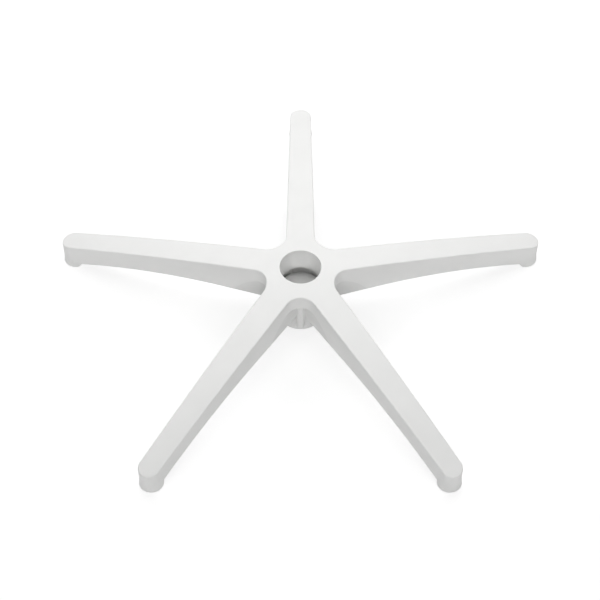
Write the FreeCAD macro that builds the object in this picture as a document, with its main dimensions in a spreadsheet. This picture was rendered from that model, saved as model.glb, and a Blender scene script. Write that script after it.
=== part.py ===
import FreeCAD, Part
import math
import os

# Driving dimensions, in millimetres and degrees.
# Depths and drops are measured down from the top of the hub.
SIZES = [
    ("arm_count", 5),
    ("overall_height", 105),
    ("tip_radius", 320),
    ("arm_root_radius", 60),
    ("arm_root_width", 35.4),
    ("arm_tip_width", 27.2),
    ("wall_lean", 2),
    ("top_edge_round", 1.8),
    ("crown_arc_radius", 4150),
    ("crown_tip_drop", 71.4),
    ("web_round", 21),
    ("web_depth", 26),
    ("web_edge_radius", 46),
    ("web_edge_arc_radius", 62),
    ("arch_radius", 84),
    ("arch_depth", 59.4),
    ("arch_tip_depth", 100.8),
    ("arch_arc_radius", 720),
    ("hub_rise", 0.2),
    ("hub_inset", 0.6),
    ("hub_corner_round", 5.8),
    ("hub_lean", 3),
    ("hub_reach", 96),
    ("hub_top_drop", 11),
    ("hub_shoulder_radius", 48),
    ("hub_shoulder_drop", 44),
    ("sleeve_radius", 27.8),
    ("sleeve_wall", 4),
    ("sleeve_depth", 93),
    ("gusset_nose_radius", 4.9),
    ("gusset_reach", 4.4),
    ("gusset_depth", 78),
    ("wall", 3.8),
    ("roof", 4),
    ("core_overlap", 11.4),
    ("rib_thickness", 2.4),
    ("rib_recess", 3),
    ("rib_bays", 7),
    ("rib_space", 0.5),
    ("rib_ring_radius", 32.5),
    ("boss_radius", 15.2),
    ("boss_setback", 0.2),
    ("boss_chamfer", 1.2),
    ("boss_neck_radius", 12.6),
    ("boss_neck_drop", 4),
    ("boss_ramp_start", 6.5),
    ("boss_ramp_angle", 40),
    ("caster_bore_radius", 5.5),
    ("caster_bore_depth", 28),
    ("socket_radius", 25.6),
    ("socket_taper", 1.43),
    ("socket_mouth_round", 0.6),
    ("socket_land", 33.6),
    ("socket_depth", 47.1),
    ("socket_floor", 4),
    ("slot_width", 2.7),
    ("slot_depth", 52),
    ("overrun", 5),
]

doc = FreeCAD.newDocument("five_star_base")
sheet = doc.addObject("Spreadsheet::Sheet", "sizes")
for row, (alias, value) in enumerate(SIZES, start=1):
    sheet.set(f"A{row}", alias)
    sheet.set(f"B{row}", str(value))
    sheet.setAlias(f"B{row}", alias)
doc.recompute()


def size(alias):
    return float(sheet.get(alias))


ARMS = int(size("arm_count"))
HALF_PITCH = math.pi / ARMS
TOP = size("overall_height")
MOUTH_RADIUS = size("socket_radius") + size("socket_mouth_round")
SLEEVE_RADIUS = size("sleeve_radius")
SLEEVE_MIDDLE = SLEEVE_RADIUS - size("sleeve_wall") / 2
BOSS_PLACE = size("tip_radius") - size("boss_setback") - size("boss_radius")
# How far a cutting body runs past the faces that it cuts through.
OVERRUN = size("overrun")


def hump(start, end, radius):
    """Height over a radius of an upward-bulging arc through two (radius, height) points."""
    chord_x = end[0] - start[0]
    chord_z = end[1] - start[1]
    chord = math.hypot(chord_x, chord_z)
    drop = math.sqrt(radius**2 - (chord / 2) ** 2)
    centre_x = (start[0] + end[0]) / 2 + drop * chord_z / chord
    centre_z = (start[1] + end[1]) / 2 - drop * chord_x / chord
    return lambda place: centre_z + math.sqrt(radius**2 - (place - centre_x) ** 2)


crown = hump(
    (MOUTH_RADIUS, TOP),
    (size("tip_radius"), TOP - size("crown_tip_drop")),
    size("crown_arc_radius"),
)
arch = hump(
    (size("arch_radius"), TOP - size("arch_depth")),
    (BOSS_PLACE, TOP - size("arch_tip_depth")),
    size("arch_arc_radius"),
)
web_edge = hump(
    (size("web_edge_radius"), TOP - size("web_depth")),
    (size("arch_radius"), TOP - size("arch_depth")),
    size("web_edge_arc_radius"),
)


def half_width(place):
    """Half the arm's width at its top edge, at a distance from the hub's axis."""
    root = size("arm_root_width") / 2
    tip = size("arm_tip_width") / 2
    span = size("tip_radius") - tip - size("arm_root_radius")
    return root + (tip - root) * (place - size("arm_root_radius")) / span


def lean_gain(depth, lean):
    return depth * math.tan(math.radians(lean))


# Bodies, sketches and features

def new_body(name):
    return doc.addObject("PartDesign::Body", name)


def origin_feature(body, role):
    return next(item for item in body.Origin.OriginFeatures if item.Role == role)


def new_sketch(body, name, role, height="0"):
    sketch = body.newObject("Sketcher::SketchObject", name)
    sketch.AttachmentSupport = (origin_feature(body, role), [""])
    sketch.MapMode = "FlatFace"
    sketch.setExpression("AttachmentOffset.Base.z", height)
    return sketch


def draw(sketch, path):
    """Draw a closed path: each step is an end point, with a point on the way where it is an arc."""
    start = FreeCAD.Vector(*path[-1][:2], 0)
    for step in path:
        end = FreeCAD.Vector(*step[:2], 0)
        if len(step) == 3:
            sketch.addGeometry(Part.Arc(start, FreeCAD.Vector(*step[2], 0), end), False)
        else:
            sketch.addGeometry(Part.LineSegment(start, end), False)
        start = end


def revolve(body, name, path, axis_place=0.0, kind="PartDesign::Revolution"):
    """Turn a profile, drawn as (radius, height), about the vertical line at axis_place."""
    sketch = new_sketch(body, name + "_profile", "XZ_Plane")
    draw(sketch, path)
    foot = FreeCAD.Vector(axis_place, 0, 0)
    sketch.addGeometry(Part.LineSegment(foot, foot + FreeCAD.Vector(0, TOP, 0)), True)
    feature = body.newObject(kind, name)
    feature.Profile = sketch
    feature.ReferenceAxis = (sketch, ["Axis0"])
    feature.Angle = 360
    return feature


def around(body, feature):
    """Repeat a feature round the hub's axis, once for each arm."""
    pattern = body.newObject("PartDesign::PolarPattern", feature.Name + "_ring")
    pattern.Originals = [feature]
    pattern.Axis = (origin_feature(body, "Z_Axis"), [""])
    pattern.Angle = 360
    pattern.setExpression("Occurrences", "sizes.arm_count")
    body.Tip = pattern
    return pattern


def turned(radial, sideways, angle):
    """A point given along and across a direction, in plan."""
    x = radial * math.cos(angle) - sideways * math.sin(angle)
    y = radial * math.sin(angle) + sideways * math.cos(angle)
    return (x, y)


def mirrored(point):
    """The same point on the next arm, mirrored in the middle line of the gap between them."""
    angle = 2 * HALF_PITCH
    x = point[0] * math.cos(angle) + point[1] * math.sin(angle)
    y = point[0] * math.sin(angle) - point[1] * math.cos(angle)
    return (x, y)


def gap_path(inset, corner, lean, depth, reach=None):
    """Plan, on a plane at a depth, of the gap between the arm on +X and the next one.

    The arm's stated widths are those of its top edges, so the lean of its walls is added back.
    The gap runs round the arms' tips, or is closed at a reach from the hub's axis.
    """
    root = size("arm_root_radius")
    bend = size("tip_radius") - size("arm_tip_width") / 2
    gain_root = lean_gain(TOP - crown(root) - depth, lean)
    gain_tip = lean_gain(TOP - crown(bend) - depth, lean)
    side_root = half_width(root) + gain_root - inset
    side_tip = half_width(bend) + gain_tip - inset
    slope = (side_tip - side_root) / (bend - root)
    angle = math.atan(slope)
    side_axis = (side_root - slope * root) * math.cos(angle)
    # The corner's arc is centred on the gap's middle line and touches both arms' edges.
    centre = (corner + side_axis) / math.sin(HALF_PITCH - angle)
    centre_x, centre_y = turned(centre, 0, HALF_PITCH)
    touch = (centre_x + corner * math.sin(angle), centre_y - corner * math.cos(angle))
    middle = turned(centre - corner, 0, HALF_PITCH)
    corner_arc = (*touch, middle)
    if reach:
        side = (reach, side_root + slope * (reach - root))
        rim = turned(reach / math.cos(HALF_PITCH), 0, HALF_PITCH)
        return [side, rim, mirrored(side), mirrored(touch), corner_arc]
    # The tip's arc is centred on the arm's middle line and touches the arm's edge.
    end = size("tip_radius") + lean_gain(size("crown_tip_drop") - depth, lean) - inset
    tip_centre = (end - side_axis) / (1 + math.sin(angle))
    tip_round = end - tip_centre
    tip_touch = (tip_centre - tip_round * math.sin(angle), tip_round * math.cos(angle))
    halfway = math.pi / 4
    tip_middle = (tip_centre + tip_round * math.cos(halfway), tip_round * math.sin(halfway))
    tip_end = (end, 0.0)
    outside = (end + 2 * tip_round, 0.0)
    rim = turned(outside[0] / math.cos(HALF_PITCH), 0, HALF_PITCH)
    return [
        tip_touch,
        (*tip_end, tip_middle),
        outside,
        rim,
        mirrored(outside),
        mirrored(tip_end),
        (*mirrored(tip_touch), mirrored(tip_middle)),
        mirrored(touch),
        corner_arc,
    ]


def cut_gaps(body, name, inset, corner, lean, reach=None):
    """Cut the gaps between the arms, from the hub's top to below the feet, as their walls lean in."""
    plans = []
    for level, height, depth in (
        ("upper", "sizes.overall_height + sizes.overrun", -OVERRUN),
        ("lower", "-sizes.overrun", TOP + OVERRUN),
    ):
        plan = new_sketch(body, f"{name}_{level}_plan", "XY_Plane", height)
        draw(plan, gap_path(inset, corner + lean_gain(depth, lean), lean, depth, reach))
        plans.append(plan)
    cut = body.newObject("PartDesign::SubtractiveLoft", name)
    cut.Profile = plans[0]
    cut.Sections = plans[1:]
    cut.Ruled = True
    return around(body, cut)


def bulge(curve, start, end):
    """An arc's end point and a point on the way, for a profile that follows a curve."""
    middle = (start + end) / 2
    return (end, curve(end), (middle, curve(middle)))


# Crowned top with its skirt: an umbrella-shaped turning, out of which the gaps are cut
outer = new_body("outer")
rim_radius = size("tip_radius") + OVERRUN
arch_radius = size("arch_radius")
web_radius = size("web_edge_radius")
inner_radius = size("socket_radius") - OVERRUN
revolve(
    outer,
    "umbrella",
    [
        (MOUTH_RADIUS, TOP),
        bulge(crown, MOUTH_RADIUS, rim_radius),
        (rim_radius, arch(BOSS_PLACE)),
        (BOSS_PLACE, arch(BOSS_PLACE)),
        bulge(arch, BOSS_PLACE, arch_radius),
        bulge(web_edge, arch_radius, web_radius),
        (inner_radius, TOP - size("web_depth")),
        (inner_radius, TOP),
    ],
)
cut_gaps(outer, "arm_gap", 0, size("web_round"), size("wall_lean"))
doc.recompute()


def on_crown(edge):
    """Whether an edge lies along the crowned top, outside the socket's mouth."""
    places = [edge.valueAt(edge.FirstParameter), edge.valueAt(edge.LastParameter)]
    radii = [math.hypot(place.x, place.y) for place in places]
    heights = [abs(place.z - crown(radius)) for place, radius in zip(places, radii)]
    return max(heights) < 0.05 and min(radii) > size("arm_root_radius") / 2


arms = outer.Tip
top_edges = [f"Edge{n}" for n, edge in enumerate(arms.Shape.Edges, start=1) if on_crown(edge)]
rounding = outer.newObject("PartDesign::Fillet", "top_edge")
rounding.Base = (arms, top_edges)
rounding.setExpression("Radius", "sizes.top_edge_round")
doc.recompute()

# Lower hub: the arms' walls run in below the web and meet in tight corners round the sleeve
lower_hub = new_body("lower_hub")
hub_top = TOP - size("hub_top_drop")
hub_bottom = TOP - size("arch_depth") + size("hub_rise")
revolve(
    lower_hub,
    "hub_blank",
    [
        (inner_radius, hub_top),
        (size("hub_shoulder_radius"), hub_top),
        (size("hub_reach"), TOP - size("hub_shoulder_drop")),
        (size("hub_reach"), hub_bottom),
        (inner_radius, hub_bottom),
    ],
)
cut_gaps(
    lower_hub,
    "hub_gap",
    size("hub_inset"),
    size("hub_corner_round"),
    size("hub_lean"),
    size("hub_reach") + OVERRUN,
)

# Hollow underside: the arms and the hub are cored from below to an even wall
arm_core = new_body("arm_core")
core_start = size("hub_reach") - size("core_overlap")
core_end = BOSS_PLACE - size("boss_radius") / 2


def ceiling(place):
    return crown(place) - size("roof")


revolve(
    arm_core,
    "arm_core_blank",
    [
        (core_start, ceiling(core_start)),
        bulge(ceiling, core_start, core_end),
        (core_end, -OVERRUN),
        (core_start, -OVERRUN),
    ],
)
cut_gaps(
    arm_core,
    "arm_core_gap",
    size("wall"),
    size("web_round") + size("wall"),
    size("wall_lean"),
    size("tip_radius"),
)

hub_core = new_body("hub_core")
revolve(
    hub_core,
    "hub_core_blank",
    [
        (SLEEVE_MIDDLE, ceiling(SLEEVE_MIDDLE)),
        bulge(ceiling, SLEEVE_MIDDLE, size("hub_reach")),
        (size("hub_reach"), -OVERRUN),
        (SLEEVE_MIDDLE, -OVERRUN),
    ],
)
cut_gaps(
    hub_core,
    "hub_core_gap",
    size("hub_inset") + size("wall"),
    size("hub_corner_round") + size("wall"),
    size("hub_lean"),
    size("hub_reach") + OVERRUN,
)

# Ribs: a ring round the sleeve and crossed webs under each arm, short of the lower edge
ribs = new_body("ribs")
ring_radius = size("rib_ring_radius")
ring_edge = ring_radius + size("rib_thickness")
revolve(ribs, "rib_ring", [(ring_radius, TOP), (ring_edge, TOP), (ring_edge, 0.0), (ring_radius, 0.0)])
bays = int(size("rib_bays"))
bay = (core_end - SLEEVE_MIDDLE) / bays


def rib_row(name, first_side):
    """Ribs that zigzag along the arm between the middles of its walls."""
    plan = new_sketch(ribs, name + "_plan", "XY_Plane")
    side = first_side
    for turn in range(bays):
        near = SLEEVE_MIDDLE + bay * turn + size("rib_space")
        far = near + bay - 2 * size("rib_space")
        near_side = side * (half_width(near) - size("wall") / 2)
        far_side = -side * (half_width(far) - size("wall") / 2)
        across = abs(far_side - near_side)
        slant = size("rib_thickness") * math.hypot(bay, across) / across
        draw(plan, [(near + slant, near_side), (far, far_side), (far - slant, far_side), (near, near_side)])
        side = -side
    row = ribs.newObject("PartDesign::Pad", name)
    row.Profile = plan
    row.setExpression("Length", "sizes.overall_height")
    around(ribs, row)


rib_row("rib_zig", 1)
rib_row("rib_zag", -1)

rib_room = new_body("rib_room")
revolve(
    rib_room,
    "rib_room_blank",
    [
        (SLEEVE_MIDDLE, TOP - size("roof") / 2),
        bulge(lambda place: crown(place) - size("roof") / 2, SLEEVE_MIDDLE, rim_radius),
        (rim_radius, arch(BOSS_PLACE) + size("rib_recess")),
        (BOSS_PLACE, arch(BOSS_PLACE) + size("rib_recess")),
        bulge(lambda place: arch(place) + size("rib_recess"), BOSS_PLACE, arch_radius),
        (SLEEVE_MIDDLE, TOP - size("arch_depth") + size("rib_recess")),
    ],
)

# Sleeve under the hub, which takes the chair's column
sleeve = doc.addObject("Part::Cylinder", "sleeve")
sleeve.setExpression("Radius", "sizes.sleeve_radius")
sleeve.setExpression("Height", "sizes.sleeve_depth - sizes.hub_top_drop")
sleeve.setExpression("Placement.Base.z", "sizes.overall_height - sizes.sleeve_depth")

# Gussets: a rib with a half-round nose from the sleeve into each corner of the hub
gussets = new_body("gussets")
nose = size("gusset_nose_radius")
nose_place = SLEEVE_RADIUS + size("gusset_reach")
gusset_plan = new_sketch(gussets, "gusset_plan", "XY_Plane", "sizes.overall_height - sizes.gusset_depth")
draw(
    gusset_plan,
    [
        turned(nose_place, -nose, HALF_PITCH),
        (*turned(nose_place, nose, HALF_PITCH), turned(nose_place + nose, 0, HALF_PITCH)),
        turned(SLEEVE_MIDDLE, nose, HALF_PITCH),
        turned(SLEEVE_MIDDLE, -nose, HALF_PITCH),
    ],
)
gusset = gussets.newObject("PartDesign::Pad", "gusset")
gusset.Profile = gusset_plan
gusset.setExpression("Length", "sizes.gusset_depth - sizes.hub_top_drop")
around(gussets, gusset)

# Caster bosses at the arms' tips, coned to stay under the crowned top, with a ramp on the hub's side
bosses = new_body("bosses")
boss_edge = BOSS_PLACE + size("boss_radius")
boss_top = crown(BOSS_PLACE) - size("boss_neck_drop")
boss = revolve(
    bosses,
    "boss",
    [
        (BOSS_PLACE, 0.0),
        (boss_edge - size("boss_chamfer"), 0.0),
        (boss_edge, size("boss_chamfer")),
        (BOSS_PLACE + size("boss_neck_radius"), boss_top),
        (BOSS_PLACE, boss_top),
    ],
    BOSS_PLACE,
)
around(bosses, boss)
ramp_start = BOSS_PLACE - size("boss_ramp_start")
ramp_end = BOSS_PLACE - size("boss_radius") - OVERRUN
ramp_height = lean_gain(ramp_start - ramp_end, size("boss_ramp_angle"))
revolve(
    bosses,
    "boss_ramp",
    [(ramp_start, 0.0), (ramp_end, ramp_height), (ramp_end, -OVERRUN), (ramp_start, -OVERRUN)],
    kind="PartDesign::Groove",
)

# Socket: a tapered seat for the column, a floor, and a slot round it that opens into the hollow hub
socket = new_body("socket")
land = TOP - size("socket_land")
floor = TOP - size("socket_depth")
land_radius = size("socket_radius") - lean_gain(size("socket_land"), size("socket_taper"))
mouth = size("socket_mouth_round")
mouth_middle = mouth * (1 - math.sin(math.pi / 4))
slot_radius = SLEEVE_RADIUS + size("slot_width")
slot_bottom = TOP - size("slot_depth")
revolve(
    socket,
    "socket_bore",
    [
        (0.0, TOP + OVERRUN),
        (MOUTH_RADIUS, TOP + OVERRUN),
        (MOUTH_RADIUS, TOP),
        (size("socket_radius"), TOP - mouth, (size("socket_radius") + mouth_middle, TOP - mouth_middle)),
        (land_radius, land),
        (slot_radius, land),
        (slot_radius, slot_bottom),
        (SLEEVE_RADIUS, slot_bottom),
        (SLEEVE_RADIUS, floor),
        (0.0, floor),
    ],
)
well = doc.addObject("Part::Cylinder", "well")
well.setExpression("Radius", "sizes.sleeve_radius - sizes.sleeve_wall")
well.setExpression("Height", "sizes.overall_height - sizes.socket_depth - sizes.socket_floor")

# Caster bores, blind, up into the bosses
caster_bores = new_body("caster_bores")
bore_plan = new_sketch(caster_bores, "bore_plan", "XY_Plane", "-sizes.overrun")
bore_centre = FreeCAD.Vector(BOSS_PLACE, 0, 0)
bore_plan.addGeometry(
    Part.Circle(bore_centre, FreeCAD.Vector(0, 0, 1), size("caster_bore_radius")), False
)
bore = caster_bores.newObject("PartDesign::Pad", "bore")
bore.Profile = bore_plan
bore.setExpression("Length", "sizes.caster_bore_depth + sizes.overrun")
around(caster_bores, bore)
doc.recompute()

# The moulding: walls, less the coring, with what stands inside it


def combine(kind, name, shapes):
    result = doc.addObject(kind, name)
    result.Shapes = shapes
    return result


def cut_away(name, base, tool):
    result = doc.addObject("Part::Cut", name)
    result.Base = base
    result.Tool = tool
    return result


blank = combine("Part::MultiFuse", "blank", [outer, lower_hub])
coring = combine("Part::MultiFuse", "coring", [arm_core, hub_core])
walls = cut_away("walls", blank, coring)
webbing = combine("Part::MultiCommon", "webbing", [ribs, blank, rib_room])
moulding = combine("Part::MultiFuse", "moulding", [walls, webbing, sleeve, gussets, bosses])
openings = combine("Part::MultiFuse", "openings", [socket, well, caster_bores])
star_base = cut_away("star_base", moulding, openings)
star_base.Label = "star_base"
# One arm points straight back, along +Y.
star_base.Placement = FreeCAD.Placement(
    FreeCAD.Vector(0, 0, 0), FreeCAD.Rotation(FreeCAD.Vector(0, 0, 1), 90)
)
doc.recompute()

for item in doc.Objects:
    if "Invalid" in item.State or "Error" in item.State:
        raise RuntimeError(f"{item.Name} failed to build")
if star_base.Shape.isNull() or not star_base.Shape.isValid() or len(star_base.Shape.Solids) != 1:
    raise RuntimeError("star_base is not one valid solid")

os.makedirs("parts", exist_ok=True)
star_base.Shape.exportStep(f"parts/{star_base.Label}.step")
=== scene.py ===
import math

import bpy
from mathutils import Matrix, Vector


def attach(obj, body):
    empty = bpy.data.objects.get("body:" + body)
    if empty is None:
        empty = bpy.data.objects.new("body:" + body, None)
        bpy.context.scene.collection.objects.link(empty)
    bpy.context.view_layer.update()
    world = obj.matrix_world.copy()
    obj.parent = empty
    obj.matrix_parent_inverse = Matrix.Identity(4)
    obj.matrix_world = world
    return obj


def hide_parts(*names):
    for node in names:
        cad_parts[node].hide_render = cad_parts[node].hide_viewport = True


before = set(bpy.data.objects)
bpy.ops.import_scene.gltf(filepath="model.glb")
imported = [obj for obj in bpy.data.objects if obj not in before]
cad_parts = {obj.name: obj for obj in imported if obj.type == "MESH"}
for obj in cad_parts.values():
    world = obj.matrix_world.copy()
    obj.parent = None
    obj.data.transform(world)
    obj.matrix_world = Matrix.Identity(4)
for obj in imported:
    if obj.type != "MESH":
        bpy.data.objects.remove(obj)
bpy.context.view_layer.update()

# Star base.
# One injection moulding in white nylon: arched arms, a hub with a tapered socket and a ribbed underside.
# Its faces have the fine satin grain of a spark-eroded mould, and it stands free on its five caster bosses.
merge_gap = 0.000002
flat_limit = math.radians(0.4)
smooth_limit = math.radians(28)

bpy.ops.object.select_all(action="DESELECT")
moulded_base = bpy.data.objects.new("moulded_base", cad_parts["star_base"].data.copy())
bpy.context.collection.objects.link(moulded_base)
moulded_base.select_set(True)
bpy.context.view_layer.objects.active = moulded_base
bpy.ops.object.mode_set(mode="EDIT")
bpy.ops.mesh.select_all(action="SELECT")
bpy.ops.mesh.remove_doubles(threshold=merge_gap)
bpy.ops.object.mode_set(mode="OBJECT")

# Under the web the hub's walls stand a millimetre in from the arms' walls. That step is drawn out along each
# arm, so that its lower edge runs into the hub in one line. An arm's wall is a plane, wider at its top and
# narrower to the tip: wall_reach is its distance from the arm's middle at the hub's axis and floor level.
arm_pitch = math.radians(72)
wall_reach = 0.01476
wall_taper = 0.00806
wall_lean = math.tan(math.radians(2))
web_underside = 0.079
step_start = 0.043
step_end = 0.0844
step_limit = 0.0015
for vertex in moulded_base.data.vertices:
    arm_angle = arm_pitch * round(math.atan2(vertex.co.x, vertex.co.y) / arm_pitch)
    outward = Vector((math.sin(arm_angle), math.cos(arm_angle), 0))
    across = Vector((math.cos(arm_angle), -math.sin(arm_angle), 0))
    along = vertex.co.dot(outward)
    aside = vertex.co.dot(across)
    step = wall_reach - wall_taper * along + wall_lean * vertex.co.z - abs(aside)
    if step_start < along < step_end and vertex.co.z < web_underside and 0 < step < step_limit:
        share = (along - step_start) / (step_end - step_start)
        vertex.co += across * math.copysign(step * share, aside)

bpy.ops.object.mode_set(mode="EDIT")
bpy.ops.mesh.dissolve_limited(angle_limit=flat_limit, use_dissolve_boundaries=False)
bpy.ops.object.mode_set(mode="OBJECT")
bpy.ops.mesh.customdata_custom_splitnormals_clear()
bpy.ops.object.shade_smooth_by_angle(angle=smooth_limit)

even_shading = moulded_base.modifiers.new("even_shading", "WEIGHTED_NORMAL")
even_shading.mode = "FACE_AREA"
even_shading.keep_sharp = True

white_nylon = bpy.data.materials.new("white_nylon")
white_nylon.use_nodes = True
nylon = white_nylon.node_tree
shader = nylon.nodes["Principled BSDF"]
shader.inputs["IOR"].default_value = 1.53
place = nylon.nodes.new("ShaderNodeTexCoord").outputs["Object"]


def noise(scale, detail):
    texture = nylon.nodes.new("ShaderNodeTexNoise")
    texture.inputs["Scale"].default_value = scale
    texture.inputs["Detail"].default_value = detail
    nylon.links.new(place, texture.inputs["Vector"])
    return texture.outputs["Fac"]


def operation_node(tree, kind, operation, *feeds):
    node = tree.nodes.new(kind)
    node.operation = operation
    for socket, feed in zip(node.inputs, feeds):
        if isinstance(feed, bpy.types.NodeSocket):
            tree.links.new(feed, socket)
        else:
            socket.default_value = feed
    return node


# Faint flow clouding in the colour, a few centimetres across.
darker_white = (0.848, 0.849, 0.839, 1)
lighter_white = (0.872, 0.873, 0.863, 1)
tint = nylon.nodes.new("ShaderNodeValToRGB")
tint.color_ramp.elements[0].position = 0.3
tint.color_ramp.elements[0].color = darker_white
tint.color_ramp.elements[1].position = 0.7
tint.color_ramp.elements[1].color = lighter_white
nylon.links.new(noise(scale=26, detail=3), tint.inputs["Fac"])

# Painted shade: the hub's walls under the web's arch are coloured an even shade darker, with a sharp border,
# standing in for the shade that falls under the arch. The painted shade is bounded by the arch's circle,
# turned round the hub, and leaves out the socket.
arch_centre = (0.02763, 0, 0.01979)
arch_radius = 0.0614
socket_reach = 0.027
painted_arch_shade = (0.94, 0.94, 0.94, 1)
flattened = operation_node(nylon, "ShaderNodeVectorMath", "MULTIPLY", place, (1, 1, 0)).outputs["Vector"]
from_axis = operation_node(nylon, "ShaderNodeVectorMath", "LENGTH", flattened).outputs["Value"]
height = nylon.nodes.new("ShaderNodeSeparateXYZ")
nylon.links.new(place, height.inputs["Vector"])
section = nylon.nodes.new("ShaderNodeCombineXYZ")
nylon.links.new(from_axis, section.inputs["X"])
nylon.links.new(height.outputs["Z"], section.inputs["Z"])
from_arch_centre = operation_node(
    nylon, "ShaderNodeVectorMath", "DISTANCE", section.outputs["Vector"], arch_centre
).outputs["Value"]
under_arch = operation_node(nylon, "ShaderNodeMath", "LESS_THAN", from_arch_centre, arch_radius)
outside_socket = operation_node(nylon, "ShaderNodeMath", "GREATER_THAN", from_axis, socket_reach)
painted_shade_mask = operation_node(
    nylon, "ShaderNodeMath", "MULTIPLY", under_arch.outputs["Value"], outside_socket.outputs["Value"]
)
# Multiplies the colour by the painted shade under the arch.
painted_shade_mix = nylon.nodes.new("ShaderNodeMix")
painted_shade_mix.data_type = "RGBA"
painted_shade_mix.blend_type = "MULTIPLY"
painted_shade_mix.inputs["B"].default_value = painted_arch_shade
nylon.links.new(painted_shade_mask.outputs["Value"], painted_shade_mix.inputs["Factor"])
nylon.links.new(tint.outputs["Color"], painted_shade_mix.inputs["A"])
nylon.links.new(painted_shade_mix.outputs["Result"], shader.inputs["Base Color"])

# The satin grain: under half a millimetre in the surface, and slightly uneven in gloss.
smoothest = 0.4
roughest = 0.54
grain_depth = 0.00012
gloss = nylon.nodes.new("ShaderNodeMapRange")
gloss.inputs["To Min"].default_value = smoothest
gloss.inputs["To Max"].default_value = roughest
nylon.links.new(noise(scale=260, detail=4), gloss.inputs["Value"])
nylon.links.new(gloss.outputs["Result"], shader.inputs["Roughness"])
relief = nylon.nodes.new("ShaderNodeBump")
relief.inputs["Strength"].default_value = 0.12
relief.inputs["Distance"].default_value = grain_depth
nylon.links.new(noise(scale=2600, detail=2), relief.inputs["Height"])
nylon.links.new(relief.outputs["Normal"], shader.inputs["Normal"])

moulded_base.data.materials.clear()
moulded_base.data.materials.append(white_nylon)
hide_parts("star_base")
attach(moulded_base, "root")

# Floor.
# A wide seamless sheet of white paper that the caster bosses stand on, and that takes the soft shadow.
# Where it is seen or mirrored it glows, so that it comes out white, and its own colour is deeper.
floor_width = 14.0
floor_drop = 0.0004
paper_white = (0.86, 0.86, 0.86, 1)
shown_grey = (0.42, 0.42, 0.42, 1)
glow = 0.72


def seen_or_mirrored(tree):
    rays = tree.nodes.new("ShaderNodeLightPath").outputs
    seen = operation_node(tree, "ShaderNodeMath", "MAXIMUM", rays["Is Camera Ray"], rays["Is Glossy Ray"])
    shown = operation_node(
        tree, "ShaderNodeMath", "MAXIMUM", seen.outputs["Value"], rays["Is Transmission Ray"]
    )
    return shown.outputs["Value"]


bpy.ops.object.select_all(action="DESELECT")
bpy.ops.mesh.primitive_plane_add(size=floor_width, location=(0, 0, -floor_drop))
floor = bpy.context.object
floor.name = "floor"
bpy.ops.object.transform_apply(location=True, rotation=True, scale=True)
white_paper = bpy.data.materials.new("white_paper")
white_paper.use_nodes = True
paper = white_paper.node_tree
sheet_shader = paper.nodes["Principled BSDF"]
sheet_shader.inputs["Roughness"].default_value = 0.9
sheet_shader.inputs["Specular IOR Level"].default_value = 0
sheet_shader.inputs["Emission Color"].default_value = (1, 1, 1, 1)
sheet_shown = seen_or_mirrored(paper)
sheet_colour = paper.nodes.new("ShaderNodeMix")
sheet_colour.data_type = "RGBA"
sheet_colour.inputs["A"].default_value = paper_white
sheet_colour.inputs["B"].default_value = shown_grey
paper.links.new(sheet_shown, sheet_colour.inputs["Factor"])
paper.links.new(sheet_colour.outputs["Result"], sheet_shader.inputs["Base Color"])
lift = operation_node(paper, "ShaderNodeMath", "MULTIPLY", sheet_shown, glow)
paper.links.new(lift.outputs["Value"], sheet_shader.inputs["Emission Strength"])
floor.data.materials.append(white_paper)


# Studio light.
# A broad softbox over the back of the base, a weak one above it, a strong one far in front and a weak one
# at each side. The room is white where it is seen or mirrored, and gives no light of its own.
def softbox(name, place, aim, width, height, power):
    lamp = bpy.data.lights.new(name, "AREA")
    lamp.shape = "RECTANGLE"
    lamp.size = width
    lamp.size_y = height
    lamp.energy = power
    fixture = bpy.data.objects.new(name, lamp)
    bpy.context.collection.objects.link(fixture)
    fixture.location = place
    fixture.rotation_euler = (Vector(aim) - Vector(place)).to_track_quat("-Z", "Y").to_euler()


softbox("back_softbox", place=(0, 0.7, 0.9), aim=(0, 0.2, 0), width=2.0, height=0.9, power=11.7)
softbox("overhead_softbox", place=(0, 0, 1.4), aim=(0, 0, 0), width=0.5, height=0.5, power=3.2)
softbox("front_softbox", place=(0, -3.6, 2.62), aim=(0, 0, 0.05), width=4.0, height=0.3, power=87)
for side, offset in (("left", -1.9), ("right", 1.9)):
    softbox(
        f"{side}_softbox", place=(offset, -0.6, 0.9), aim=(0, 0, 0.05), width=0.8, height=0.6, power=2.9
    )

world = bpy.data.worlds.new("white_room")
bpy.context.scene.world = world
world.use_nodes = True
room = world.node_tree.nodes["Background"]
room.inputs["Color"].default_value = (1, 1, 1, 1)
world.node_tree.links.new(seen_or_mirrored(world.node_tree), room.inputs["Strength"])

bpy.context.scene.view_settings.view_transform = "Standard"

# Camera.
# A long lens, well back and above the front gap between two arms, aimed a little below the hub's top.
hub_top = Vector((0, 0, 0.105))
camera_distance = 2.7665
camera_elevation = math.radians(52.57)
camera_aim = Vector((-0.0006, -0.0325, 0.0801))
camera = bpy.data.objects.new("camera", bpy.data.cameras.new("camera"))
bpy.context.collection.objects.link(camera)
camera.location = hub_top + camera_distance * Vector(
    (0, -math.cos(camera_elevation), math.sin(camera_elevation))
)
camera.rotation_euler = (camera_aim - camera.location).to_track_quat("-Z", "Y").to_euler()
camera.data.sensor_width = 36
camera.data.lens = 134.82
bpy.context.scene.camera = camera
